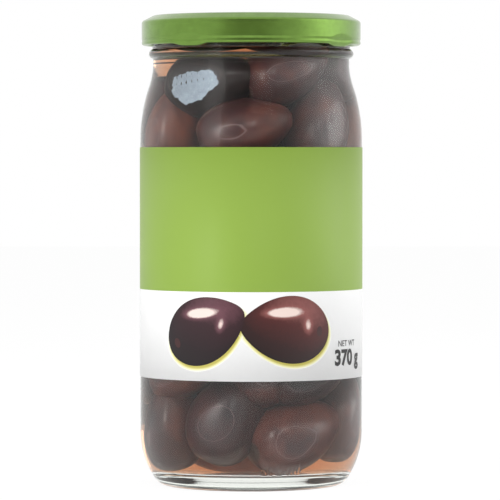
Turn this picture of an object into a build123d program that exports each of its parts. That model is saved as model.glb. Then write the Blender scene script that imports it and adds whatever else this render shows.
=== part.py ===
from build123d import *

import math
import os

# A sealed glass jar of whole olives in brine: a round flint glass jar with a
# narrower neck, a lacquered tinplate twist-off lid, a wrap-round paper label
# and the filling. +Z is up, the origin is the centre of the ring that the jar
# stands on, -Y is the label's front. Millimetres throughout.

# --- glass jar -------------------------------------------------------------
BODY_RADIUS = 33.6
NECK_STEP = 3.95           # how much narrower the neck is than the body
GLASS_HEIGHT = 140.7
WALL = 2.4

HEEL_TOP = 16.5            # where the straight body starts
HEEL_RADIUS = 26.0         # large arc of the heel
HEEL_CORNER_RADIUS = 5.0   # tight arc down to the standing ring
STANDING_RING_WIDTH = 2.0  # flat annulus that touches the table
PUNT_STEP = 0.9            # height of the step inside the standing ring
PUNT_RUN = 1.2             # radial length of that step
PUNT_HEIGHT = 1.9          # underside's rise at the axis
FLOOR_THICKNESS = 3.4      # glass under the filling, at the axis
FLOOR_CORNER_RADIUS = 6.0

SHOULDER_RADIUS = 50.0     # convex arc leaving the body
NECK_SWEEP_RADIUS = 24.0   # concave arc running into the neck
NECK_LENGTH = 0.6          # straight neck between that arc and the bead

FINISH_STEP = 0.25         # the threaded wall stands this far outside the neck
BEAD_CLEARANCE = 0.2       # between the lid's lowest point and the transfer bead
BEAD_PROUD = 1.35
BEAD_HALF_HEIGHT = 1.5
BEAD_BLEND = 0.5           # fillet between bead and neck
RIM_OUTER_BLEND = 1.2
RIM_INNER_BLEND = 0.9

NECK_RADIUS = BODY_RADIUS - NECK_STEP
FINISH_RADIUS = NECK_RADIUS + FINISH_STEP

# --- twist-off thread and lid ----------------------------------------------
LUG_COUNT = 4
FIRST_LUG_AZIMUTH = -34.5  # degrees from the front, positive to the right
THREAD_PROUD = 1.4
THREAD_RIDGE_RADIUS = 1.3
THREAD_TILT = 7.5          # degrees, rising to the right
THREAD_SPAN = 66.0
THREAD_LAG = 5.0           # how far the ridge's middle trails its lug
THREAD_CLEARANCE = 0.15    # between a lug's hook and the ridge over it

SHEET = 0.35               # tinplate with its lacquer
SKIRT_CLEARANCE = 1.5      # between the thread's crest and the skirt
SKIRT_HEIGHT = 7.6         # from the glass rim down to the curl's lowest point
CURL_RADIUS = 0.8
SHOULDER_DROP = 0.35       # the lid's outer corner, below the glass rim
LID_RISE = 1.5             # the lid's highest ring, above the glass rim
SLOPE_RUN = 3.65           # radial length of the sloped ring
TOP_RING_WIDTH = 1.6
PANEL_DEPTH = 0.7
PANEL_SLOPE_RUN = 1.1
BUTTON_RADIUS = 11.0       # vacuum button, drawn in
BUTTON_DEPTH = 0.45
BUTTON_SLOPE_RUN = 1.2
LID_BLEND = 0.5

GASKET_OUTSIDE = 0.5       # sealing ring's outer edge, outside the threaded wall
GASKET_WIDTH = 3.0

LUG_HALF_ANGLE = 11.7      # degrees
LUG_PRESS_HEIGHT = 2.7     # height of the pressed-in flat above the curl's foot
LUG_PRESS_DEPTH = 0.68     # how far the flat leans in at the curl's foot
LUG_CLEARANCE = 0.7        # between the hook's tip and the threaded wall
LUG_TOP = 2.3              # top of the hook at the skirt, above the curl's foot
LUG_TIP_TOP = 0.5          # top of the hook at its tip, above the curl's foot
LUG_DIP = 0.8              # how far the lug hangs below the curl's foot

SKIRT_RADIUS = FINISH_RADIUS + THREAD_PROUD + SKIRT_CLEARANCE + SHEET
SKIRT_FOOT = GLASS_HEIGHT - SKIRT_HEIGHT
LUG_TIP_RADIUS = FINISH_RADIUS + LUG_CLEARANCE
BEAD_Z = SKIRT_FOOT - LUG_DIP - BEAD_CLEARANCE - BEAD_HALF_HEIGHT
SHOULDER_END = BEAD_Z - BEAD_HALF_HEIGHT - NECK_LENGTH

# --- label and filling ------------------------------------------------------
LABEL_THICKNESS = 0.15
LABEL_TOP_MARGIN = 2.3     # glass left bare between the label and the shoulder
LABEL_BOTTOM_MARGIN = 16.7 # glass left bare between the heel and the label
LABEL_GAP_WIDTH = 9.0      # bare strip between the label's ends, at the back
BRINE_HEADSPACE = 5.7      # brine level, below the glass rim


def revolved(curves):
    """A solid turned about Z from a closed chain of curves drawn in the XZ plane."""
    edges = [edge for curve in curves for edge in curve.edges()]
    return revolve(Plane.XZ * make_face(edges), Axis.Z, 360)


def shoulder_edges(inset):
    """The shoulder's two tangent arcs, body to neck, moved inwards by inset."""
    turn = math.acos(1 - NECK_STEP / (SHOULDER_RADIUS + NECK_SWEEP_RADIUS))
    convex = SHOULDER_RADIUS - inset
    concave = NECK_SWEEP_RADIUS + inset
    joint_z = SHOULDER_END - concave * math.sin(turn)
    body = (BODY_RADIUS - inset, joint_z - convex * math.sin(turn))
    joint = (body[0] - convex * (1 - math.cos(turn)), joint_z)
    neck = (NECK_RADIUS - inset, SHOULDER_END)
    lower_arc = TangentArc(body, joint, tangent=(0, 1))
    upper_arc = TangentArc(joint, neck, tangent=lower_arc % 1)
    return [lower_arc, upper_arc], body, neck


def heel_edges(inset, corner_radius, floor_z):
    """The heel's large arc and tight corner, from the body down to the floor."""
    side = (BODY_RADIUS - inset, HEEL_TOP)
    # the corner arc is tangent to the large arc and to the floor
    radius = HEEL_RADIUS - inset
    reach = radius - corner_radius
    rise = HEEL_TOP - floor_z - corner_radius
    turn = math.asin(rise / reach)
    corner_x = side[0] - radius + reach * math.cos(turn)
    joint = (
        corner_x + corner_radius * math.cos(turn),
        floor_z + corner_radius * (1 - math.sin(turn)),
    )
    large = TangentArc(side, joint, tangent=(0, -1))
    corner = TangentArc(joint, (corner_x, floor_z), tangent=large % 1)
    return [corner, large], corner_x


def cavity(top):
    """The space inside the glass, filled up to the given height."""
    floor_z = PUNT_HEIGHT + FLOOR_THICKNESS
    heel, floor_radius = heel_edges(WALL, FLOOR_CORNER_RADIUS, floor_z)
    shoulder, body_end, neck_start = shoulder_edges(WALL)
    return revolved([
        Line((0, floor_z), (floor_radius, floor_z)),
        *heel,
        Line((BODY_RADIUS - WALL, HEEL_TOP), body_end),
        *shoulder,
        Line(neck_start, (neck_start[0], top)),
        Line((neck_start[0], top), (0, top)),
        Line((0, top), (0, floor_z)),
    ])


def thread_ridge(azimuth):
    """One slanted ridge of the thread: a tilted stretch of torus, round-ended."""
    ring_radius = FINISH_RADIUS + THREAD_PROUD - THREAD_RIDGE_RADIUS
    # the ridge just clears the hook below it where it is lowest over the hook
    fall = math.sin(math.radians(THREAD_TILT)) * math.sin(
        math.radians(LUG_HALF_ANGLE + THREAD_LAG))
    middle = SKIRT_FOOT + LUG_TIP_TOP + THREAD_RIDGE_RADIUS + THREAD_CLEARANCE + ring_radius * fall
    arc = Torus(ring_radius, THREAD_RIDGE_RADIUS, major_angle=THREAD_SPAN)
    arc = Rot(0, 0, -THREAD_SPAN / 2) * arc
    for side in (-1, 1):
        end = Rot(0, 0, side * THREAD_SPAN / 2) * Pos(ring_radius, 0, 0)
        arc += end * Sphere(THREAD_RIDGE_RADIUS)
    return Rot(0, 0, azimuth - 90) * Pos(0, 0, middle) * Rot(THREAD_TILT, 0, 0) * arc


def lug_azimuths():
    """Where the lid's lugs sit, in degrees from the front."""
    return [FIRST_LUG_AZIMUTH + i * 360 / LUG_COUNT for i in range(LUG_COUNT)]


def glass_jar():
    """The jar's glass: turned body, cavity cut out, bead and thread ridges."""
    heel, ring_outer = heel_edges(0, HEEL_CORNER_RADIUS, 0)
    ring_inner = ring_outer - STANDING_RING_WIDTH
    punt_edge = (ring_inner - PUNT_RUN, PUNT_STEP)
    shoulder, body_end, neck_start = shoulder_edges(0)
    bead_foot = (NECK_RADIUS, BEAD_Z - BEAD_HALF_HEIGHT)
    bead_crown = (NECK_RADIUS + BEAD_PROUD, BEAD_Z)
    bead_head = (FINISH_RADIUS, BEAD_Z + BEAD_HALF_HEIGHT)
    outside = revolved([
        ThreePointArc((0, PUNT_HEIGHT), (punt_edge[0] / 2, PUNT_HEIGHT * 0.87), punt_edge),
        Line(punt_edge, (ring_inner, 0)),
        Line((ring_inner, 0), (ring_outer, 0)),
        *heel,
        Line((BODY_RADIUS, HEEL_TOP), body_end),
        *shoulder,
        Line(neck_start, bead_foot),
        ThreePointArc(bead_foot, bead_crown, bead_head),
        Line(bead_head, (FINISH_RADIUS, GLASS_HEIGHT)),
        Line((FINISH_RADIUS, GLASS_HEIGHT), (0, GLASS_HEIGHT)),
        Line((0, GLASS_HEIGHT), (0, PUNT_HEIGHT)),
    ])
    foot = outside.edges().filter_by(GeomType.CIRCLE).filter_by_position(
        Axis.Z, bead_foot[1] - 0.01, bead_foot[1] + 0.01)
    head = outside.edges().filter_by(GeomType.CIRCLE).filter_by_position(
        Axis.Z, bead_head[1] - 0.01, bead_head[1] + 0.01)
    outside = fillet([*foot, *head], BEAD_BLEND)
    jar = outside - cavity(GLASS_HEIGHT)
    rim = jar.edges().filter_by(GeomType.CIRCLE).group_by(Axis.Z)[-1].sort_by(SortBy.RADIUS)
    jar = fillet(rim[-1], RIM_OUTER_BLEND)
    rim = jar.edges().filter_by(GeomType.CIRCLE).group_by(Axis.Z)[-1].sort_by(SortBy.RADIUS)
    jar = fillet(rim[0], RIM_INNER_BLEND)
    for azimuth in lug_azimuths():
        ridge = thread_ridge(azimuth - THREAD_LAG) - cavity(GLASS_HEIGHT)
        jar += ridge
    return jar


def offset_chain(points, distance):
    """The same open chain of points, moved to its right by distance."""
    moved = []
    for i, point in enumerate(points):
        before = points[max(i - 1, 0)]
        after = points[min(i + 1, len(points) - 1)]
        sides = []
        for start, end in ((before, point), (point, after)):
            length = math.dist(start, end)
            if length > 0:
                sides.append(((end[1] - start[1]) / length, (start[0] - end[0]) / length))
        one, other = sides[0], sides[-1]
        share = distance / (1 + one[0] * other[0] + one[1] * other[1])
        moved.append((
            point[0] + (one[0] + other[0]) * share,
            point[1] + (one[1] + other[1]) * share,
        ))
    return moved


def lid_sheet():
    """The pressed sheet: skirt, sloped ring, top ring, panel and button."""
    rim = GLASS_HEIGHT
    top = rim + LID_RISE
    panel = top - PANEL_DEPTH
    button = panel - BUTTON_DEPTH
    curl_z = SKIRT_FOOT + CURL_RADIUS
    slope_top = SKIRT_RADIUS - SLOPE_RUN
    panel_radius = slope_top - TOP_RING_WIDTH - PANEL_SLOPE_RUN
    chain = [
        (0, button),
        (BUTTON_RADIUS - BUTTON_SLOPE_RUN, button),
        (BUTTON_RADIUS, panel),
        (panel_radius, panel),
        (panel_radius + PANEL_SLOPE_RUN, top),
        (slope_top, top),
        (SKIRT_RADIUS, rim - SHOULDER_DROP),
        (SKIRT_RADIUS, curl_z),
    ]
    under = offset_chain(chain, SHEET)
    outer = FilletPolyline(*chain, radius=LID_BLEND)
    inner = FilletPolyline(*under, radius=LID_BLEND - SHEET / 2)
    return revolved([
        outer,
        Line(chain[-1], under[-1]),
        inner,
        Line(under[0], chain[0]),
    ]), offset_chain(chain, SHEET / 2)


def height_on(chain, radius):
    """The height of an open chain of points where it passes the given radius."""
    for start, end in zip(chain, chain[1:]):
        if start[0] <= radius <= end[0]:
            share = (radius - start[0]) / (end[0] - start[0])
            return start[1] + share * (end[1] - start[1])
    return chain[-1][1]


def sealing_ring(middle):
    """The ring of sealing compound, from the glass rim up into the sheet."""
    outer = FINISH_RADIUS + GASKET_OUTSIDE
    inner = outer - GASKET_WIDTH
    crown = [point for point in middle if inner < point[0] < outer]
    return revolved([Polyline(
        (outer, GLASS_HEIGHT),
        (inner, GLASS_HEIGHT),
        (inner, height_on(middle, inner)),
        *crown,
        (outer, height_on(middle, outer)),
        close=True,
    )])


def lug(azimuth):
    """The hook pressed inwards from the curl, under one thread ridge."""
    outer = SKIRT_RADIUS - SHEET / 2
    bottom = SKIRT_FOOT - LUG_DIP
    face = make_face(Polyline(
        (outer, bottom),
        (outer, SKIRT_FOOT + LUG_TOP),
        (LUG_TIP_RADIUS, SKIRT_FOOT + LUG_TIP_TOP),
        (LUG_TIP_RADIUS, bottom),
        close=True,
    ))
    hook = Rot(0, 0, -LUG_HALF_ANGLE) * revolve(Plane.XZ * face, Axis.Z, 2 * LUG_HALF_ANGLE)
    # a cylinder lying along the radius rounds the underside, deepest midway
    half_chord = SKIRT_RADIUS * math.sin(math.radians(LUG_HALF_ANGLE))
    belly = (half_chord**2 + LUG_DIP**2) / (2 * LUG_DIP)
    barrel = Cylinder(belly, 2 * SKIRT_RADIUS, rotation=(0, 90, 0))
    hook &= Pos(SKIRT_RADIUS, 0, bottom + belly) * barrel
    return Rot(0, 0, azimuth - 90) * hook


def press_cut(azimuth):
    """The block outside the flat that leans in where a lug is pressed."""
    lean = math.degrees(math.atan2(LUG_PRESS_DEPTH, LUG_PRESS_HEIGHT))
    size = SKIRT_RADIUS
    block = Pos(size / 2, 0, -size / 2) * Box(size, size, size)
    flat_top = Pos(SKIRT_RADIUS, 0, SKIRT_FOOT + LUG_PRESS_HEIGHT)
    return Rot(0, 0, azimuth - 90) * flat_top * Rot(0, lean, 0) * block


def twist_lid():
    """The lid: sheet, curl, sealing ring bonded inside, and four pressed lugs."""
    sheet, middle = lid_sheet()
    curl = Pos(0, 0, SKIRT_FOOT + CURL_RADIUS) * Torus(SKIRT_RADIUS - CURL_RADIUS, CURL_RADIUS)
    lugs = [lug(azimuth) for azimuth in lug_azimuths()]
    lid = sheet + [curl, sealing_ring(middle), *lugs]
    return lid - [press_cut(azimuth) for azimuth in lug_azimuths()]


def paper_label():
    """The wrap-round label, open at the back by a narrow strip."""
    gap = math.degrees(LABEL_GAP_WIDTH / BODY_RADIUS)
    outer = BODY_RADIUS + LABEL_THICKNESS
    _, body_end, _ = shoulder_edges(0)
    top = body_end[1] - LABEL_TOP_MARGIN
    bottom = HEEL_TOP + LABEL_BOTTOM_MARGIN
    section = make_face(Polyline(
        (BODY_RADIUS, bottom),
        (outer, bottom),
        (outer, top),
        (BODY_RADIUS, top),
        close=True,
    ))
    wrap = revolve(Plane.XZ * section, Axis.Z, 360 - gap)
    return Rot(0, 0, 90 + gap / 2) * wrap


def main():
    os.makedirs("parts", exist_ok=True)
    parts = {
        "glass_jar": glass_jar(),
        "twist_lid": twist_lid(),
        "paper_label": paper_label(),
        "olives_in_brine": cavity(GLASS_HEIGHT - BRINE_HEADSPACE),
    }
    for name, shape in parts.items():
        export_step(shape, f"parts/{name}.step")
        print(name, round(shape.volume / 1000, 2), "cm3", len(shape.solids()), "solid")
    print("brimful", round(cavity(GLASS_HEIGHT).volume / 1000, 1), "ml")


main()
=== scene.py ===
"""A glass jar of whole olives in brine, with a twist-off lid and a wrap-round label.

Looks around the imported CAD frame. Metres, +Z up, the label faces -Y.
Azimuths are in degrees from the front, positive to the right.
"""
import math

import bpy
import numpy as np
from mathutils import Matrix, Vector
from mathutils.bvhtree import BVHTree


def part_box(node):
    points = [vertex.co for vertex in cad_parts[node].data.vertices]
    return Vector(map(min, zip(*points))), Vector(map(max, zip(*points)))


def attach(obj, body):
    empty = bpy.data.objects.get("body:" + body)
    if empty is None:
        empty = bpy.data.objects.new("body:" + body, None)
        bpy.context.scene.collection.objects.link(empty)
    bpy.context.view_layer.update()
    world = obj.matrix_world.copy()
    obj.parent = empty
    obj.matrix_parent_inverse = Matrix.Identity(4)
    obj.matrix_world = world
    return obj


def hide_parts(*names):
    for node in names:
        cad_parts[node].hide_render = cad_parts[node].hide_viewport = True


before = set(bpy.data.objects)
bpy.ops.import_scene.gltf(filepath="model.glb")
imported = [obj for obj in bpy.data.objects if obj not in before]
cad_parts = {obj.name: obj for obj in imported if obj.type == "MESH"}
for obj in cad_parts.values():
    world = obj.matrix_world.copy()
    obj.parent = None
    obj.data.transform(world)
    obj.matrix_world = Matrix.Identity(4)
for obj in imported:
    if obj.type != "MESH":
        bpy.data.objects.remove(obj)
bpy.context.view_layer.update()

MM = 0.001
RNG = np.random.default_rng(11)

# sizes of the CAD part, in millimetres
BODY_R = 33.6
NECK_R = 29.65
FINISH_R = 29.9
WALL = 2.4
GLASS_H = 140.7
HEEL_TOP = 16.5
HEEL_R = 26.0
HEEL_CORNER = 5.0
FLOOR_Z = 5.3
FLOOR_CORNER = 6.0
SHOULDER_R = 50.0
NECK_SWEEP = 24.0
SHOULDER_END = 128.5
BEAD_Z = 130.6
BEAD_HALF = 1.5
BEAD_PROUD = 1.35
SKIRT_R = 33.15
SKIRT_FOOT = 133.1
LID_TOP = 142.2
LUG_AZ = [-34.5 + 90 * i for i in range(4)]
BRINE_TOP = 135.0
LABEL_LOW, LABEL_HIGH = (c[2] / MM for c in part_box("paper_label"))
LABEL_R = BODY_R + 0.15
LABEL_GAP = 9.0

# the jar's mouldings and small forms, in millimetres and degrees
RING_WIDTH = 2.0
PUNT_Z = 1.9
RIM_OUTER, RIM_INNER = 1.2, 0.9
THREAD_Z = 135.93
THREAD_SLANT = 7.5
THREAD_PROUD = 1.3
NECK_LINE_Z = 127.9
MOULD_LINES = (-97, 83)
FIGURES_AZ = 16.5
FIGURES_LOW, FIGURES_HIGH = 2.5, 11
FIGURES_MIN_R = 29
FIGURES_PROUD = 0.22
GLASS_IOR = 1.5

# the lid's
PANEL_DROP = 0.7
BUTTON_DROP = 0.45
PRESS_ROUND, SKIRT_ROUND = 0.35, 0.7
LUG_HALF_WIDTH = 11.7
LUG_RISE = 2.9


# ---------------------------------------------------------------- helpers
def arc(centre, radius, start, end, count):
    """Points on an arc in (radius, height), angles in radians."""
    return [
        (centre[0] + radius * math.cos(t), centre[1] + radius * math.sin(t))
        for t in np.linspace(start, end, count)
    ]


def shoulder(inset, count=16):
    """The shoulder's two tangent arcs, body to neck, moved inwards."""
    turn = math.acos(1 - (BODY_R - NECK_R) / (SHOULDER_R + NECK_SWEEP))
    convex, concave = SHOULDER_R - inset, NECK_SWEEP + inset
    joint_z = SHOULDER_END - concave * math.sin(turn)
    low = joint_z - convex * math.sin(turn)
    one = arc((BODY_R - inset - convex, low), convex, 0, turn, count)
    other = arc((NECK_R - inset + concave, SHOULDER_END), concave, math.pi + turn, math.pi, count)
    return one + other[1:]


def heel(inset, corner, floor_z, count=14):
    """The heel's large arc and tight corner, floor to body."""
    radius = HEEL_R - inset
    side = BODY_R - inset
    reach = radius - corner
    turn = math.asin((HEEL_TOP - floor_z - corner) / reach)
    corner_x = side - radius + reach * math.cos(turn)
    tight = arc((corner_x, floor_z + corner), corner, -math.pi / 2, -turn, 8)
    large = arc((side - radius, HEEL_TOP), radius, -turn, 0, count)
    return tight + large[1:]


def smooth_step(x):
    x = np.clip(x, 0, 1)
    return x * x * (3 - 2 * x)


def add_mesh(name, verts, faces, material=None, smooth=True):
    """A new object from millimetre vertices."""
    mesh = bpy.data.meshes.new(name)
    metres = (np.asarray(verts, float) * MM).tolist()
    mesh.from_pydata(metres, [], [tuple(int(i) for i in f) for f in faces])
    mesh.validate()
    mesh.polygons.foreach_set("use_smooth", [smooth] * len(mesh.polygons))
    ob = bpy.data.objects.new(name, mesh)
    bpy.context.scene.collection.objects.link(ob)
    for mat in material if isinstance(material, (list, tuple)) else [material]:
        if mat:
            mesh.materials.append(mat)
    return ob


def grid_faces(rows, cols, closed=True, base=0):
    """Quads of a grid of rows by cols, the columns joined up if closed."""
    faces = []
    for i in range(rows - 1):
        low, high = base + i * cols, base + (i + 1) * cols
        for j in range(cols if closed else cols - 1):
            k = (j + 1) % cols
            faces.append((low + j, low + k, high + k, high + j))
    return faces


def spin(azimuth):
    """Unit direction of an azimuth in degrees."""
    a = np.radians(azimuth)
    return np.sin(a), -np.cos(a)


def around(azimuth, centre):
    """Degrees from a centre azimuth, between -180 and 180."""
    return (azimuth - centre + 180) % 360 - 180


def columns(profile, azimuth):
    """A profile's radius and height, each repeated for every azimuth."""
    return [np.repeat(profile[:, k:k + 1], len(azimuth), axis=1) for k in (0, 1)]


def turned(radius, height, azimuth):
    """Vertices of a turned skin from its radius and height grids."""
    s, c = spin(azimuth)
    return np.stack([radius * s, radius * c, height], axis=-1).reshape(-1, 3)


def flat_letters(text, size, bold):
    """A flat mesh of centred lettering, in millimetres."""
    curve = bpy.data.curves.new("letters", "FONT")
    curve.body = text
    curve.size = size
    curve.align_x = "CENTER"
    curve.offset = bold
    ob = bpy.data.objects.new("letters", curve)
    bpy.context.scene.collection.objects.link(ob)
    seen = ob.evaluated_get(bpy.context.evaluated_depsgraph_get())
    mesh = bpy.data.meshes.new_from_object(seen)
    bpy.data.objects.remove(ob)
    return mesh


def store_values(ob, name, values):
    """A float attribute with one value for each vertex."""
    data = ob.data.attributes.new(name, "FLOAT", "POINT").data
    data.foreach_set("value", np.array(values, np.float32))


def piece(ob, slot, *nodes):
    """The object rides on the root body, and the given CAD nodes are hidden; slot is not used."""
    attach(ob, "root")
    if nodes:
        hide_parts(*nodes)
    return ob


class Mat:
    """A small builder for the nodes of a material, or of a world."""

    def __init__(self, name, world=False):
        self.mat = (bpy.data.worlds if world else bpy.data.materials).new(name)
        self.mat.use_nodes = True
        self.nt = self.mat.node_tree
        self.nt.nodes.clear()
        self.out = self.node("OutputWorld" if world else "OutputMaterial")

    def node(self, kind, **props):
        n = self.nt.nodes.new("ShaderNode" + kind)
        for key, value in props.items():
            if key in n.inputs:
                n.inputs[key].default_value = value
            else:
                setattr(n, key, value)
        return n

    def link(self, a, b):
        self.nt.links.new(a, b)

    def noise(self, scale, detail, roughness):
        n = self.node("TexNoise", Scale=scale, Detail=detail, Roughness=roughness)
        self.link(self.node("TexCoord").outputs["Object"], n.inputs["Vector"])
        return n.outputs["Fac"]

    def ramp(self, fac, stops):
        n = self.node("ValToRGB")
        e = n.color_ramp.elements
        while len(e) < len(stops):
            e.new(0.5)
        for item, (pos, col) in zip(e, stops):
            item.position = pos
            item.color = (*col, 1)
        self.link(fac, n.inputs["Fac"])
        return n.outputs["Color"]

    def mix(self, fac, a, b, blend="MIX"):
        n = self.node("Mix", data_type="RGBA", blend_type=blend)
        for sock, value in ((n.inputs[0], fac), (n.inputs[6], a), (n.inputs[7], b)):
            if hasattr(value, "is_output"):
                self.link(value, sock)
            else:
                sock.default_value = value if isinstance(value, float) else (*value, 1)
        return n.outputs[2]

    def bump(self, height, strength, distance):
        n = self.node("Bump", Strength=strength, Distance=distance)
        self.link(height, n.inputs["Height"])
        return n.outputs["Normal"]

    def attribute(self, name):
        return self.node("Attribute", attribute_name=name).outputs["Fac"]

    def map_range(self, value, low, high):
        """The value's place between low and high, from 0 to 1."""
        n = self.node("MapRange")
        n.inputs["From Min"].default_value = low
        n.inputs["From Max"].default_value = high
        self.link(value, n.inputs["Value"])
        return n.outputs[0]

    def mix_shader(self, fac, a, b):
        """Joins a mix of two shader nodes to the output."""
        mix = self.node("MixShader")
        self.link(fac, mix.inputs[0])
        self.link(a.outputs[0], mix.inputs[1])
        self.link(b.outputs[0], mix.inputs[2])
        self.link(mix.outputs[0], self.out.inputs["Surface"])

    def principled(self, colour, normal=None, coat=None, **values):
        """A surface of this colour, joined to the output; coat is weight, roughness."""
        p = self.node("BsdfPrincipled", **values)
        if coat:
            p.inputs["Coat Weight"].default_value = coat[0]
            p.inputs["Coat Roughness"].default_value = coat[1]
        self.link(colour, p.inputs["Base Color"])
        if normal is not None:
            self.link(normal, p.inputs["Normal"])
        self.link(p.outputs[0], self.out.inputs["Surface"])
        return self.mat


def srgb(r, g, b):
    """Linear colour from 0-255 display values."""
    return tuple(
        c / 12.92 if c <= 0.04045 else ((c + 0.055) / 1.055) ** 2.4
        for c in (r / 255, g / 255, b / 255)
    )


def grey(value):
    return (value,) * 3


# ---------------------------------------------------------------- glass
def clear_glass(name, ior):
    """Clear glass that lets lamps through to what is behind it."""
    m = Mat(name)
    glass = m.node("BsdfGlass", Roughness=0.0, IOR=ior)
    glass.inputs["Color"].default_value = (0.985, 0.995, 0.985, 1)
    clear = m.node("BsdfTransparent")
    clear.inputs["Color"].default_value = (0.96, 0.975, 0.96, 1)
    m.mix_shader(m.node("LightPath").outputs["Is Shadow Ray"], glass, clear)
    return m.mat


def text_height(text, size):
    """A function of (x, z) that is 1 on the letters, soft at their edges."""
    mesh = flat_letters(text, size, 0.02 * size)
    tree = BVHTree.FromPolygons(
        [v.co for v in mesh.vertices], [p.vertices for p in mesh.polygons])
    blur = (-0.17, 0, 0.17)
    offsets = [(a, b) for a in blur for b in blur]
    down = Vector((0, 0, -1))

    def height(x, z):
        hits = sum(
            tree.ray_cast(Vector((x + a, z + b, 1)), down)[0] is not None
            for a, b in offsets)
        return hits / len(offsets)

    return height


def jar_profile():
    """The jar's half section, and how many points its dry and wet insides have.

    It runs from under the base, up the outside and down the inside. The rim
    counts as dry inside.
    """
    ring_inner = heel(0, HEEL_CORNER, 0)[0][0] - RING_WIDTH
    punt_r = ring_inner - 1.2
    under = [(r, PUNT_Z - (r / punt_r) ** 2) for r in np.linspace(0.01, punt_r, 7)]
    under += [(ring_inner - 0.4, 0.35), (ring_inner, 0.0)]
    side = heel(0, HEEL_CORNER, 0, 22)
    body = [(BODY_R, z) for z in np.linspace(HEEL_TOP, 104, 12)[1:]]
    neck = shoulder(0, 18)[1:]
    bead = [
        (NECK_R + BEAD_PROUD * math.cos(t) ** 1.3, BEAD_Z + BEAD_HALF * math.sin(t))
        for t in np.linspace(-1.45, 1.45, 15)
    ]
    bore_r = NECK_R - WALL
    finish_low, finish_high = BEAD_Z + BEAD_HALF + 0.1, GLASS_H - RIM_OUTER
    finish = [(FINISH_R, z) for z in np.linspace(finish_low, finish_high, 26)]
    rim = arc((FINISH_R - RIM_OUTER, finish_high), RIM_OUTER, 0, math.pi / 2, 6)[1:]
    rim += arc((bore_r + RIM_INNER, GLASS_H - RIM_INNER), RIM_INNER, math.pi / 2, math.pi, 6)
    dry = [(bore_r, z) for z in np.linspace(finish_high, BRINE_TOP, 4)]
    wet = [(bore_r, BRINE_TOP - 2.0)] + shoulder(WALL, 14)[::-1]
    wet += [(BODY_R - WALL, z) for z in np.linspace(100, HEEL_TOP + 2, 8)]
    wet += heel(WALL, FLOOR_CORNER, FLOOR_Z)[::-1]
    wet += [(r, FLOOR_Z) for r in np.linspace(22, 0.01, 6)]
    profile = under + side + body + neck + bead + finish + rim + dry + wet
    # denser rows where the figures are moulded
    dense = []
    for (r0, z0), (r1, z1) in zip(profile, profile[1:]):
        dense.append((r0, z0))
        low_down = len(dense) < len(under + side)
        if low_down and r0 > FIGURES_MIN_R and FIGURES_LOW < z0 < FIGURES_HIGH:
            dense += [(r0 + (r1 - r0) * k / 7, z0 + (z1 - z0) * k / 7) for k in range(1, 7)]
    dense.append(profile[-1])
    return np.array(dense), len(rim) + len(dry), len(wet)


def moulded(profile, azimuth, outside):
    """The skin's radius and height with thread, mould lines and figures."""
    radius, height = columns(profile, azimuth)
    # slanted ridges of the thread, one for each lug
    lean = math.sin(math.radians(THREAD_SLANT))
    for lug in LUG_AZ:
        offset = around(azimuth, lug - 5.0)
        centre = THREAD_Z + 30 * lean * np.sin(np.radians(offset))
        fade = smooth_step((35 - np.abs(offset)) / 4)
        across = (height - centre[None, :]) / THREAD_PROUD
        bulge = np.sqrt(np.clip(1 - across**2, 0, 1))
        ridge = 30.0 + THREAD_PROUD * bulge * fade[None, :]
        take = outside[:, None] & (np.abs(across) < 1) & (height > BEAD_Z + BEAD_HALF)
        radius = np.where(take, np.maximum(radius, ridge), radius)
    # mould lines: one round the neck, one up each side
    line = outside[:, None] * np.exp(-(((height - NECK_LINE_Z) / 0.35) ** 2)) * 0.10
    for side_az in MOULD_LINES:
        off = around(azimuth, side_az)
        seam = np.exp(-((off / 0.9) ** 2))[None, :] * 0.05
        line = line + (outside[:, None] & (height > 1)) * seam
    radius = radius + line
    # moulded figures on the heel
    figures = text_height("370 ml", 4.6)
    r, z = profile.T
    rows = np.nonzero(outside & (r > FIGURES_MIN_R) & (z > FIGURES_LOW) & (z < FIGURES_HIGH))[0]
    for j, az in enumerate(azimuth):
        if not 4 < az < 29:
            continue
        x = math.radians(az - FIGURES_AZ) * 32.5
        for i in rows:
            radius[i, j] += FIGURES_PROUD * figures(x, z[i] * 1.02 - 5.8)
    return radius, height


def glass_jar():
    """The whole jar as one skin: outside up, over the rim and down inside."""
    profile, dry, wet = jar_profile()
    first_wet = len(profile) - wet
    outside = np.arange(len(profile)) < first_wet - dry
    coarse = np.arange(-180, 180, 1.5)
    coarse = coarse[(coarse < 2) | (coarse > 30)]
    azimuth = np.sort(np.concatenate([coarse, np.arange(2, 30, 0.22)]))
    radius, height = moulded(profile, azimuth, outside)
    verts = turned(radius, height, azimuth)
    rows, cols = radius.shape
    faces = grid_faces(rows, cols)
    # a fan closes the base and another the floor
    bottom, floor = len(verts), len(verts) + 1
    verts = np.vstack([verts, [[0, 0, PUNT_Z], [0, 0, FLOOR_Z]]])
    last = (rows - 1) * cols
    for j in range(cols):
        k = (j + 1) % cols
        faces.append((bottom, k, j))
        faces.append((floor, last + j, last + k))
    dry_glass = clear_glass("jar_glass", GLASS_IOR)
    wet_glass = clear_glass("glass_to_brine", GLASS_IOR / 1.34)
    ob = add_mesh("glass_jar_wall", verts, faces, [dry_glass, wet_glass])
    index = np.zeros(len(ob.data.polygons), int)
    index[first_wet * cols:last] = 1
    index[-1::-2][:cols] = 1
    ob.data.polygons.foreach_set("material_index", index)
    return piece(ob, "clear_glass", "glass_jar")


def inner_radius(z):
    """The cavity's radius at each height, in millimetres."""
    curve = heel(WALL, FLOOR_CORNER, FLOOR_Z) + shoulder(WALL, 14)
    curve += [(NECK_R - WALL, BRINE_TOP + 1)]
    pts = np.array(curve)
    return np.interp(z, pts[:, 1], pts[:, 0])


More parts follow.
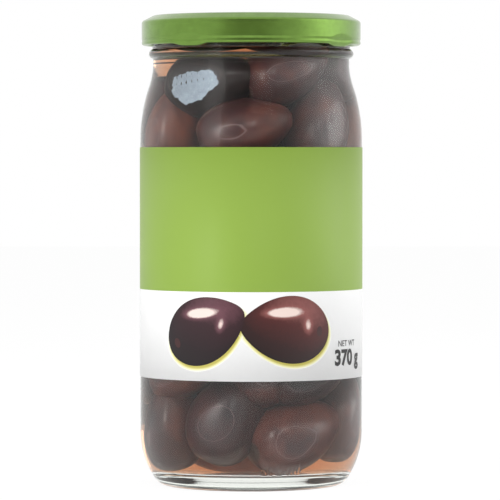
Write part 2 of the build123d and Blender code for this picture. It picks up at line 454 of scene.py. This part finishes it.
def brine():
    """The liquid: clear, tinted through its depth, reaching just into the glass."""
    into = 0.06
    prof = [(r, FLOOR_Z - into) for r in np.linspace(0.01, 22, 5)]
    prof += [(r + into, z - into * 0.5) for r, z in heel(WALL, FLOOR_CORNER, FLOOR_Z)[1:]]
    prof += [(BODY_R - WALL + into, z) for z in np.linspace(20, 100, 6)]
    prof += [(r + into, z) for r, z in shoulder(WALL, 14)]
    prof += [(NECK_R - WALL + into, BRINE_TOP)] + [(r, BRINE_TOP) for r in (20, 10, 0.01)]
    az = np.arange(-180, 180, 3.0)
    verts = turned(*columns(np.array(prof), az), az)
    n, k = len(prof), len(az)
    faces = grid_faces(n, k) + [tuple(range(k))[::-1], tuple((n - 1) * k + j for j in range(k))]
    m = Mat("brine")
    m.link(m.node("BsdfTransparent").outputs[0], m.out.inputs["Surface"])
    absorb = m.node("VolumeAbsorption", Density=50.0)
    absorb.inputs["Color"].default_value = (0.76, 0.38, 0.08, 1)
    m.link(absorb.outputs[0], m.out.inputs["Volume"])
    ob = add_mesh("brine_liquid", verts, faces, m.mat)
    return piece(ob, "olives_and_brine", "olives_in_brine")


# ---------------------------------------------------------------- olives
OLIVE_COLUMNS = 28
LOOSE_OLIVES = 34
SETTLING_STEPS = 320
# chosen ones that show through the glass: azimuth, height, length, thickness,
# tilt in the wall plane, lightness
HEROES = [
    (-35, 121.0, 28.0, 20.5, 80, 0.05),
    (28, 124.5, 27.0, 19.0, 60, 0.45),
    (-6, 107.5, 26.5, 18.5, 75, 0.55),
    (52, 108.5, 26.0, 18.5, 20, 0.50),
    (-66, 106.0, 25.5, 18.0, 15, 0.75),
    (-17, 22.0, 28.5, 21.0, 25, 0.40),
    (32, 17.0, 28.0, 20.5, 70, 0.55),
    (38, 35.0, 27.0, 19.0, 78, 0.35),
    (8, 37.5, 25.5, 17.5, 10, 0.50),
    (-52, 36.5, 26.0, 18.0, 65, 0.70),
    (-68, 19.0, 26.5, 18.5, 15, 0.45),
    (76, 22.0, 26.5, 18.5, 10, 0.60),
]


def olive_axis(az, tilt):
    """Long axis of an olive that lies against the wall."""
    s, c = spin(az)
    tangent = np.array([-c, s, 0.0])
    t = math.radians(tilt)
    return tangent * math.sin(t) + np.array([0, 0, 1.0]) * math.cos(t)


def pack_olives():
    """Seats of all olives: chosen ones against the glass, the rest settled between."""
    seats = []
    for az, z, length, thick, tilt, light in HEROES:
        s, c = spin(az)
        r = inner_radius(z) - thick * 0.5 + 0.5
        centre = np.array([r * s, r * c, z])
        seats.append([centre, olive_axis(az, tilt), length, thick, light, True])
    for _ in range(LOOSE_OLIVES):
        length = RNG.uniform(23.5, 28.0)
        thick = length * RNG.uniform(0.66, 0.74)
        a, z = RNG.uniform(0, 2 * math.pi), RNG.uniform(16, 124)
        r = (inner_radius(z) - thick / 2) * math.sqrt(RNG.uniform(0, 1))
        centre = np.array([r * math.cos(a), r * math.sin(a), z])
        axis = RNG.normal(size=3)
        axis = axis / np.linalg.norm(axis)
        seats.append([centre, axis, length, thick, RNG.uniform(0, 1), False])
    n = len(seats)
    pos = np.array([s[0] for s in seats])
    axis = np.array([s[1] for s in seats])
    length = np.array([s[2] for s in seats])
    thick = np.array([s[3] for s in seats])
    pinned = np.array([s[5] for s in seats])
    # each olive is five balls along its axis, pushed apart in small steps
    share = np.array([-0.62, -0.32, 0.0, 0.32, 0.62])
    size = np.array([0.66, 0.92, 1.0, 0.92, 0.66])
    for _ in range(SETTLING_STEPS):
        half = (length - thick)[:, None] * 0.5 * share[None, :] / share[-1] * 0.9
        balls = pos[:, None, :] + half[:, :, None] * axis[:, None, :]
        rad = thick[:, None] * 0.5 * size[None, :] * 0.97
        flat, fr = balls.reshape(-1, 3), rad.reshape(-1)
        owner = np.repeat(np.arange(n), 5)
        diff = flat[:, None, :] - flat[None, :, :]
        dist = np.linalg.norm(diff, axis=2) + 1e-9
        over = fr[:, None] + fr[None, :] - dist
        over[owner[:, None] == owner[None, :]] = 0
        over = np.clip(over, 0, None)
        give = np.where(pinned[owner][None, :], 0.9, 0.5)
        push = ((diff / dist[:, :, None]) * (over * give)[:, :, None]).sum(1)
        z = flat[:, 2]
        wall = inner_radius(np.clip(z, FLOOR_Z + 1, BRINE_TOP))
        rr = np.hypot(flat[:, 0], flat[:, 1]) + 1e-9
        out = np.clip(rr + fr - wall - 0.4, 0, None)
        push[:, :2] -= flat[:, :2] / rr[:, None] * out[:, None]
        low, high = FLOOR_Z + fr - z, z + fr - BRINE_TOP + 1.0
        push[:, 2] += np.clip(low, 0, None) - np.clip(high, 0, None)
        push = push.reshape(n, 5, 3)
        move = push.mean(1) * 0.8
        arms = half[:, :, None] * axis[:, None, :]
        turn = np.cross(arms, push).mean(1) / (thick[:, None] ** 2 * 0.2)
        free = ~pinned
        pos[free] += np.clip(move[free], -1.2, 1.2)
        axis[free] += np.cross(np.clip(turn[free], -0.15, 0.15), axis[free])
        axis /= np.linalg.norm(axis, axis=1)[:, None]
    return [(pos[i], axis[i], length[i], thick[i], seats[i][4]) for i in range(n)]


def olive_shape(rows=22):
    """A unit olive along +Z, blunt at the stem end, with a small point at the tip."""
    t = np.linspace(0, math.pi, rows)
    z = -np.cos(t)
    r = np.sin(t) ** 0.92 * (1 - 0.13 * z)
    z = z + 0.07 * np.exp(-(((z - 1) / 0.12) ** 2))
    z = z + 0.07 * np.exp(-((t / 0.16) ** 2))
    return z, r, t


def olives():
    """All the olives as one mesh, pressed flat where they meet the glass."""
    z0, r0, t = olive_shape()
    angle = np.linspace(0, 2 * math.pi, OLIVE_COLUMNS, endpoint=False)
    verts, faces, tone, stem, contact = [], [], [], [], []
    for pos, axis, length, thick, light in pack_olives():
        base = len(verts)
        side = np.cross(axis, [0.3, 0.5, 0.81])
        side /= np.linalg.norm(side)
        third = np.cross(axis, side)
        bend = RNG.uniform(-0.06, 0.06)
        wob = RNG.uniform(0, 6.28, 3)
        for z, r_unit, along in zip(z0, r0, t):
            bow = bend * length * 0.5 * (1 - z ** 2)
            for a in angle:
                lump = 1 + 0.018 * math.sin(2 * a + wob[0])
                lump += 0.012 * math.sin(3 * a + wob[1] + 2 * z)
                lump += 0.012 * math.sin(4 * z + wob[2])
                r = r_unit * thick / 2 * lump
                p = pos + axis * z * length / 2
                p = p + side * (r * math.cos(a) + bow) + third * r * math.sin(a)
                deep = min(max(p[2], FLOOR_Z + 0.3), BRINE_TOP)
                limit = float(inner_radius(deep)) - 0.04
                p[2] = min(max(p[2], FLOOR_Z + 0.05), BRINE_TOP - 0.3)
                d = math.hypot(p[0], p[1])
                contact.append(d - limit)
                if d > limit:
                    p[:2] *= limit / d
                verts.append(p)
                tone.append(light)
                stem.append(along)
        faces += grid_faces(len(z0), OLIVE_COLUMNS, True, base)
    ob = add_mesh("whole_olives", verts, faces, olive_material())
    for name, values in (("tone", tone), ("along", stem), ("press", contact)):
        store_values(ob, name, values)
    return piece(ob, "olives_and_brine")


def olive_material():
    """Wet cured skin: plum to red-brown, with a stem scar and painted pale contact rings (a
    painted reflection).
    """
    m = Mat("olive_skin")
    blotch = m.noise(90, 3, 0.6)
    fine = m.noise(900, 4, 0.6)
    # each olive's own tone shifts where its blotches fall in the colour ramp
    mixed = m.node("Math", operation="MULTIPLY_ADD")
    mixed.inputs[1].default_value = 0.9
    m.link(blotch, mixed.inputs[0])
    shift = m.node("Math", operation="ADD")
    shift.inputs[1].default_value = -0.42
    m.link(m.attribute("tone"), shift.inputs[0])
    m.link(shift.outputs[0], mixed.inputs[2])
    col = m.ramp(mixed.outputs[0], [
        (0.0, srgb(18, 8, 10)), (0.3, srgb(34, 17, 22)), (0.5, srgb(56, 28, 30)),
        (0.72, srgb(84, 44, 38)), (1.0, srgb(116, 66, 50)),
    ])
    speck = m.ramp(fine, [(0.2, grey(0.86)), (0.5, grey(1)), (0.8, (1.16, 1.12, 1.1))])
    col = m.mix(1.0, col, speck, "MULTIPLY")
    scar = m.ramp(m.attribute("along"), [(0.0, grey(1)), (0.2, grey(1)), (0.27, grey(0))])
    col = m.mix(scar, col, srgb(52, 38, 34))
    # a painted reflection: a thin pale line painted where the skin leaves the glass
    ring = m.map_range(m.attribute("press"), -0.09, 0.03)
    painted_edge_glint = m.ramp(ring, [
        (0.0, grey(0)), (0.4, grey(0.4)), (0.62, grey(0.5)), (0.95, grey(0)),
    ])
    col = m.mix(painted_edge_glint, col, srgb(120, 98, 98))
    return m.principled(
        col, m.bump(fine, 0.05, 0.0001), coat=(0.25, 0.15), Roughness=0.38, IOR=1.4)


def air_film():
    """A thin film of air between the uppermost olive and the glass, its silvery colour a painted
    reflection.
    """
    half_width, half_height = 7.4, 5.2
    centre_az, centre_z = -36.5, 120.3
    verts = []
    n, rings = 72, 7
    wob = RNG.uniform(0, 6.28, 6)
    for k in range(rings + 1):
        for i in range(n):
            a = 2 * math.pi * i / n
            edge = 1 + 0.10 * math.sin(2 * a + 0.8)
            edge += 0.09 * math.sin(3 * a + wob[1]) + 0.05 * math.sin(7 * a + wob[2])
            edge += 0.03 * math.sin(17 * a + wob[3]) + 0.03 * math.sin(26 * a + wob[4])
            x = half_width * edge * k / rings * math.cos(a)
            height = centre_z + half_height * edge * k / rings * math.sin(a)
            r = float(inner_radius(height)) - 0.02
            s, c = spin(centre_az + math.degrees(x / r))
            verts.append((r * s, r * c, height))
    m = Mat("air_film_painted_reflection")
    # painted reflection: the silvery blue stands in for light reflected off the film of air, with
    # some real gloss from Metallic
    col = m.mix(m.noise(500, 4, 0.7), srgb(104, 112, 124), srgb(160, 170, 184))
    m.principled(col, Metallic=0.3, Roughness=0.45)
    ob = add_mesh("air_film", verts, grid_faces(rings + 1, n), m.mat)
    return piece(ob, "olives_and_brine")


# ---------------------------------------------------------------- lid
def lid_profile():
    """The lid's half section from the middle of its top, and its back's point count."""
    panel = LID_TOP - PANEL_DROP
    slope = SKIRT_R - 3.65
    corner = (SKIRT_R, GLASS_H - 0.35)
    outline = [
        (0.01, panel - BUTTON_DROP), (9.8, panel - BUTTON_DROP), (11.0, panel),
        (slope - 2.7, panel), (slope - 1.6, LID_TOP), (slope, LID_TOP), corner,
        (SKIRT_R, SKIRT_FOOT + 1.6),
    ]
    prof = [outline[0]]
    for before, here, after in zip(outline, outline[1:], outline[2:]):
        a, p, b = (np.array(point) for point in (before, here, after))
        da, db = (a - p) / np.linalg.norm(a - p), (b - p) / np.linalg.norm(b - p)
        cut = SKIRT_ROUND if here == corner else PRESS_ROUND
        for t in np.linspace(0, 1, 6):
            q = (1 - t) ** 2 * (p + da * cut) + 2 * t * (1 - t) * p + t * t * (p + db * cut)
            prof.append(tuple(q))
    prof += [(SKIRT_R, z) for z in np.linspace(GLASS_H - 1.5, SKIRT_FOOT + 1.8, 12)]
    prof += [(SKIRT_R - 0.12, SKIRT_FOOT + 1.62)]
    prof += arc((SKIRT_R - 0.8, SKIRT_FOOT + 0.8), 0.8, 0.62, -math.pi, 14)
    prof += [(SKIRT_R - 1.6, SKIRT_FOOT + 1.3), (SKIRT_R - 0.45, SKIRT_FOOT + 2.4)]
    back = [
        (SKIRT_R - 0.35, GLASS_H - 0.6), (slope - 0.1, LID_TOP - 0.4),
        (slope - 3, panel - 0.35), (0.01, panel - 0.8),
    ]
    return np.array(prof + back), len(back)


def lid():
    """The pressed tinplate lid with its curl and four lugs."""
    prof, back = lid_profile()
    az = np.arange(-180, 180, 1.0)
    radius, height = columns(prof, az)
    low = (prof[:, 1] < SKIRT_FOOT + 3.2) & (np.arange(len(prof)) < len(prof) - back)
    for lug in LUG_AZ:
        span = np.clip(1 - (around(az, lug) / LUG_HALF_WIDTH) ** 2, 0, 1)
        rise = SKIRT_FOOT + LUG_RISE * np.sqrt(span)[None, :]
        up = np.clip((rise - height) / LUG_RISE, 0, 1)
        lean = 0.85 * up * np.sqrt(span)[None, :]
        inward = (prof[:, 0] < SKIRT_R - 0.9)[:, None] * 1.6 * span[None, :]
        radius = np.where(low[:, None], radius - lean - inward * (up > 0), radius)
        near_foot = np.clip((SKIRT_FOOT + 1.9 - height) / 1.9, 0, 1)
        dip = 0.8 * smooth_step(span)[None, :] * smooth_step(near_foot)
        height = np.where(low[:, None], height - dip, height)
    faces = [f[::-1] for f in grid_faces(len(prof), len(az))]
    m = Mat("green_lacquer")
    grain = m.noise(350, 4, 0.7)
    blend = m.ramp(grain, [(0.35, grey(0)), (0.7, grey(1))])
    col = m.mix(blend, srgb(106, 140, 56), srgb(116, 152, 64))
    m.principled(
        col, m.bump(grain, 0.08, 0.0001), coat=(0.35, 0.12), Metallic=0.9, Roughness=0.24)
    ob = add_mesh("green_twist_lid", turned(radius, height, az), faces, m.mat)
    return piece(ob, "lacquered_tinplate", "twist_lid")


# ---------------------------------------------------------------- label
SPLIT_Z = 59.6      # the white band's upper edge
PAPER_ROUGHNESS = 0.42
PRINT_GLOSS = srgb(236, 214, 206)
# the printed oil round an olive, from its middle to its edge
OIL_STOPS = [
    (0.0, srgb(150, 140, 50)), (0.90, srgb(186, 176, 84)),
    (0.95, srgb(226, 222, 160)), (1.0, srgb(244, 244, 240)),
]
# the printed olives' inks, from shade to light
LEFT_INKS = [srgb(12, 4, 8), srgb(26, 8, 14), srgb(46, 16, 24), srgb(104, 62, 72)]
RIGHT_INKS = [srgb(16, 4, 5), srgb(40, 10, 10), srgb(74, 22, 20), srgb(140, 82, 78)]


def paper(name, colour):
    """Satin printed paper in one ink colour."""
    m = Mat(name)
    fibre = m.noise(1400, 4, 0.6)
    col = m.mix(fibre, tuple(c * 0.97 for c in colour), colour)
    return m.principled(col, m.bump(fibre, 0.05, 0.00005), Roughness=PAPER_ROUGHNESS)


def label():
    """The wrap-round label: a green field over a white one, open at the back."""
    gap = math.degrees(LABEL_GAP / BODY_R)
    az = np.linspace(-180 + gap / 2, 180 - gap / 2, 240)
    heights = [LABEL_LOW, SPLIT_Z, LABEL_HIGH]
    verts, faces, mats = [], [], []
    s, c = spin(az)
    for r in (BODY_R + 0.01, LABEL_R):
        for z in heights:
            verts += [(r * a, r * b, z) for a, b in zip(s, c)]
    n = len(az)
    for layer in (0, 1):
        for i in range(2):
            for j in range(n - 1):
                k = (layer * 3 + i) * n + j
                quad = (k, k + 1, k + n + 1, k + n)
                faces.append(quad if layer else quad[::-1])
                mats.append(i)
    for i in (0, 2):
        for j in range(n - 1):
            a, b = i * n + j, (3 + i) * n + j
            quad = (a, a + 1, b + 1, b)
            faces.append(quad if i == 0 else quad[::-1])
            mats.append(0)
    for j, flip in ((0, False), (n - 1, True)):
        for i in range(2):
            a, b = i * n + j, (i + 1) * n + j
            quad = (a, a + 3 * n, b + 3 * n, b)
            faces.append(quad[::-1] if flip else quad)
            mats.append(i)
    white = paper("paper_white", srgb(244, 244, 244))
    green = paper("paper_green", srgb(136, 166, 62))
    ob = add_mesh("wrap_label", verts, faces, [white, green])
    ob.data.polygons.foreach_set("material_index", mats)
    return piece(ob, "printed_paper", "paper_label")


def on_label(x, z, lift):
    """A point of the label's face, x millimetres round from the front."""
    r = LABEL_R + lift
    a = x / LABEL_R
    return (r * math.sin(a), -r * math.cos(a), z)


def printed(name, inside, material, lift, rows, cols, shade=None):
    """A patch of ink: a grid over -1 to 1, moved by inside() to its place on the label."""
    verts, values = [], []
    for i in range(rows + 1):
        for j in range(cols + 1):
            u, v = j / cols * 2 - 1, i / rows * 2 - 1
            verts.append(on_label(*inside(u, v), lift))
            values.append(shade(u, v) if shade else 0.0)
    ob = add_mesh(name, verts, grid_faces(rows + 1, cols + 1, False), material)
    if shade:
        store_values(ob, "shade", values)
    return piece(ob, "printed_paper")


def disc(u, v):
    """A unit square's point moved into the unit disc."""
    return u * math.sqrt(max(1 - v * v / 2, 0)), v * math.sqrt(max(1 - u * u / 2, 0))


def printed_olive(name, centre, size, turn, colours):
    """A printed olive: an egg outline with soft shading, its gloss and stem end."""
    cx, cz = centre
    half_l, half_w = size
    ct, st = math.cos(math.radians(turn)), math.sin(math.radians(turn))

    def placed(x, z, dx=0.0, dz=0.0):
        return cx + dx + x * ct - z * st, cz + dz + x * st + z * ct

    def egg(scale, dx=0.0, dz=0.0):
        def place(u, v):
            a, b = (scale * e for e in disc(u, v))
            w = half_w * (1 - 0.10 * a) * (1 - 0.10 * a * a)
            tip = 0.07 * max(a, 0) ** 8
            return placed((a + tip) * half_l, b * w, dx, dz)
        return place

    def shade(u, v):
        a, b = disc(u, v)
        x, z = a * ct - b * st, a * st + b * ct
        lit = 0.5 + 0.32 * z + 0.14 * x
        gloss = 0.75 * math.exp(-(((x + 0.12) / 0.34) ** 2 + ((z - 0.5) / 0.13) ** 2))
        gloss += 0.35 * math.exp(-(((x - 0.45) / 0.10) ** 2 + ((z - 0.1) / 0.22) ** 2))
        rim = 0.16 * (a * a + b * b) ** 3
        return min(max(lit + gloss - rim, 0), 1)

    def oil(u, v):
        return math.hypot(*disc(u, v))

    def scar(u, v):
        a, b = disc(u, v)
        return placed(-half_l * 0.74 + a * 1.0, b * 1.5)

    m = Mat(name + "_ink")
    jitter = m.node("Math", operation="MULTIPLY_ADD")
    jitter.inputs[1].default_value = 0.10
    m.link(m.noise(1100, 3, 0.6), jitter.inputs[0])
    m.link(m.attribute("shade"), jitter.inputs[2])
    stops = list(zip((0.0, 0.35, 0.62, 0.85), colours)) + [(1.0, PRINT_GLOSS)]
    m.principled(m.ramp(jitter.outputs[0], stops), Roughness=PAPER_ROUGHNESS)

    mo = Mat(name + "_oil_ink")
    mo.principled(mo.ramp(mo.attribute("shade"), OIL_STOPS), Roughness=PAPER_ROUGHNESS)
    printed(name + "_oil", egg(1.05, 0.4, -1.1), mo.mat, 0.02, 24, 36, oil)
    printed(name, egg(1.0), m.mat, 0.04, 48, 64, shade)
    dark = paper(name + "_stem_ink", srgb(58, 26, 26))
    printed(name + "_stem", scar, dark, 0.06, 8, 8)


def printed_text(name, text, x, z, size, colour, bold=0.0):
    """Plain lettering laid on the label, bent round it."""
    mesh = flat_letters(text, size, bold)
    verts = [on_label(x + v.co.x, z + v.co.y, 0.05) for v in mesh.vertices]
    faces = [tuple(p.vertices) for p in mesh.polygons]
    ob = add_mesh(name, verts, faces, paper(name + "_ink", colour), smooth=False)
    return piece(ob, "printed_paper")


# ---------------------------------------------------------------- stage
FLOOR_GLOW_SHARE = 0.86
WORLD_LIGHT = 0.5
# the round wall's brightness by azimuth
WALL_PEAK = 2.3
WALL_GLOW = [
    (-180, 1.0), (-128, 1.1), (-100, 0.95), (-55, 0.9), (-40, 0.85), (-24, 0.40),
    (-8, 0.27), (14, 0.30), (34, 0.65), (52, 0.95), (70, 1.7), (90, 2.25),
    (112, 1.6), (132, 1.1), (180, 1.0),
]


def seen_ray(m):
    """1 for the rays that show a thing: to the camera, through glass or in gloss."""
    path = m.node("LightPath")
    flag = path.outputs["Is Camera Ray"]
    for kind in ("Is Transmission Ray", "Is Glossy Ray"):
        either = m.node("Math", operation="MAXIMUM")
        m.link(flag, either.inputs[0])
        m.link(path.outputs[kind], either.inputs[1])
        flag = either.outputs[0]
    return flag


def stage_floor():
    """A floor that shows as plain white but keeps the object's shadow."""
    m = Mat("white_sweep")
    diffuse = m.node("BsdfDiffuse")
    diffuse.inputs["Color"].default_value = (0.9, 0.9, 0.9, 1)
    glow = m.node("Emission", Strength=1.07)
    share = m.node("Math", operation="MULTIPLY")
    share.inputs[1].default_value = FLOOR_GLOW_SHARE
    m.link(seen_ray(m), share.inputs[0])
    m.mix_shader(share.outputs[0], diffuse, glow)
    far = 3000
    corners = [(-far, -far, 0), (far, -far, 0), (far, far, 0), (-far, far, 0)]
    floor = add_mesh("floor", corners, [(0, 1, 2, 3)], m.mat, False)


def stage_world():
    """Plain white to look at, and a dimmer even light on the object."""
    m = Mat("studio", world=True)
    lights = []
    for strength in (WORLD_LIGHT, 1.0):
        lights.append(m.node("Background", Strength=strength))
        lights[-1].inputs["Color"].default_value = (1, 1, 1, 1)
    m.mix_shader(seen_ray(m), *lights)
    bpy.context.scene.world = m.mat


def lamp(name, az, dist, z, width, height, power):
    """A soft lamp aimed at the jar's middle, not seen in gloss. Metres and watts."""
    s, c = spin(az)
    data = bpy.data.lights.new(name, "AREA")
    data.shape = "RECTANGLE"
    data.size, data.size_y, data.energy = width, height, power
    ob = bpy.data.objects.new(name, data)
    ob.location = (dist * s, dist * c, z)
    aim = Vector((0, 0, 0.07)) - ob.location
    ob.rotation_euler = aim.to_track_quat("-Z", "Y").to_euler()
    ob.visible_glossy = False
    bpy.context.scene.collection.objects.link(ob)


def studio_wall():
    """What gloss and glass reflect: a round wall, dark in front, brightest at the right."""
    m = Mat("studio_wall")
    xyz = m.node("SeparateXYZ")
    m.link(m.node("TexCoord").outputs["Object"], xyz.inputs[0])
    front = m.node("Math", operation="MULTIPLY")
    front.inputs[1].default_value = -1.0
    m.link(xyz.outputs["Y"], front.inputs[0])
    turn = m.node("Math", operation="ARCTAN2")
    m.link(xyz.outputs["X"], turn.inputs[0])
    m.link(front.outputs[0], turn.inputs[1])
    share = m.map_range(turn.outputs[0], -math.pi, math.pi)
    stops = [((az + 180) / 360, (glow / WALL_PEAK,) * 3) for az, glow in WALL_GLOW]
    e = m.node("Emission", Strength=WALL_PEAK)
    m.link(m.ramp(share, stops), e.inputs["Color"])
    m.link(e.outputs[0], m.out.inputs["Surface"])
    s, c = spin(np.arange(-180, 180, 3.0))
    ring = [(2400 * a, 2400 * b, z) for z in (-5, 2600) for a, b in zip(s, c)]
    faces = [f[::-1] for f in grid_faces(2, len(s))]
    wall = add_mesh("studio_wall", ring, faces, m.mat, False)
    wall.visible_camera = wall.visible_diffuse = wall.visible_shadow = False


def camera():
    """The photograph's view: in front, a little above, with a long lens."""
    scene = bpy.context.scene
    cam = bpy.data.cameras.new("view")
    cam.sensor_width = 36.0
    cam.lens = 273.024
    cam.clip_end = 20
    ob = bpy.data.objects.new("view", cam)
    ob.location = (-0.00035, -1.15, 0.1)
    ob.rotation_euler = (math.pi / 2 - 0.02503, 0, 0)
    scene.collection.objects.link(ob)
    scene.camera = ob
    scene.view_settings.view_transform = "Standard"


def stage_and_light():
    """Floor, world, lamps, the wall that shows in gloss, and the camera."""
    stage_floor()
    stage_world()
    lamp("lamp_right", 108, 0.8, 0.2, 0.5, 0.9, 4.5)
    lamp("lamp_left", -44, 0.9, 0.25, 0.34, 0.9, 6.5)
    lamp("front_fill", 12, 1.5, 0.95, 0.7, 0.7, 6.0)
    studio_wall()
    camera()


glass_jar()
brine()
olives()
air_film()
lid()
label()
printed_olive("print_olive_left", (-14.9, 48.2), (13.0, 9.8), 24, LEFT_INKS)
printed_olive("print_olive_right", (11.5, 48.5), (13.8, 10.0), 176, RIGHT_INKS)
printed_text("net_words", "NET WT", 34.2, 43.0, 2.5, srgb(50, 50, 50), 0.02)
printed_text("net_weight", "370 g", 34.8, 37.5, 6.3, srgb(14, 14, 14), 0.26)
stage_and_light()
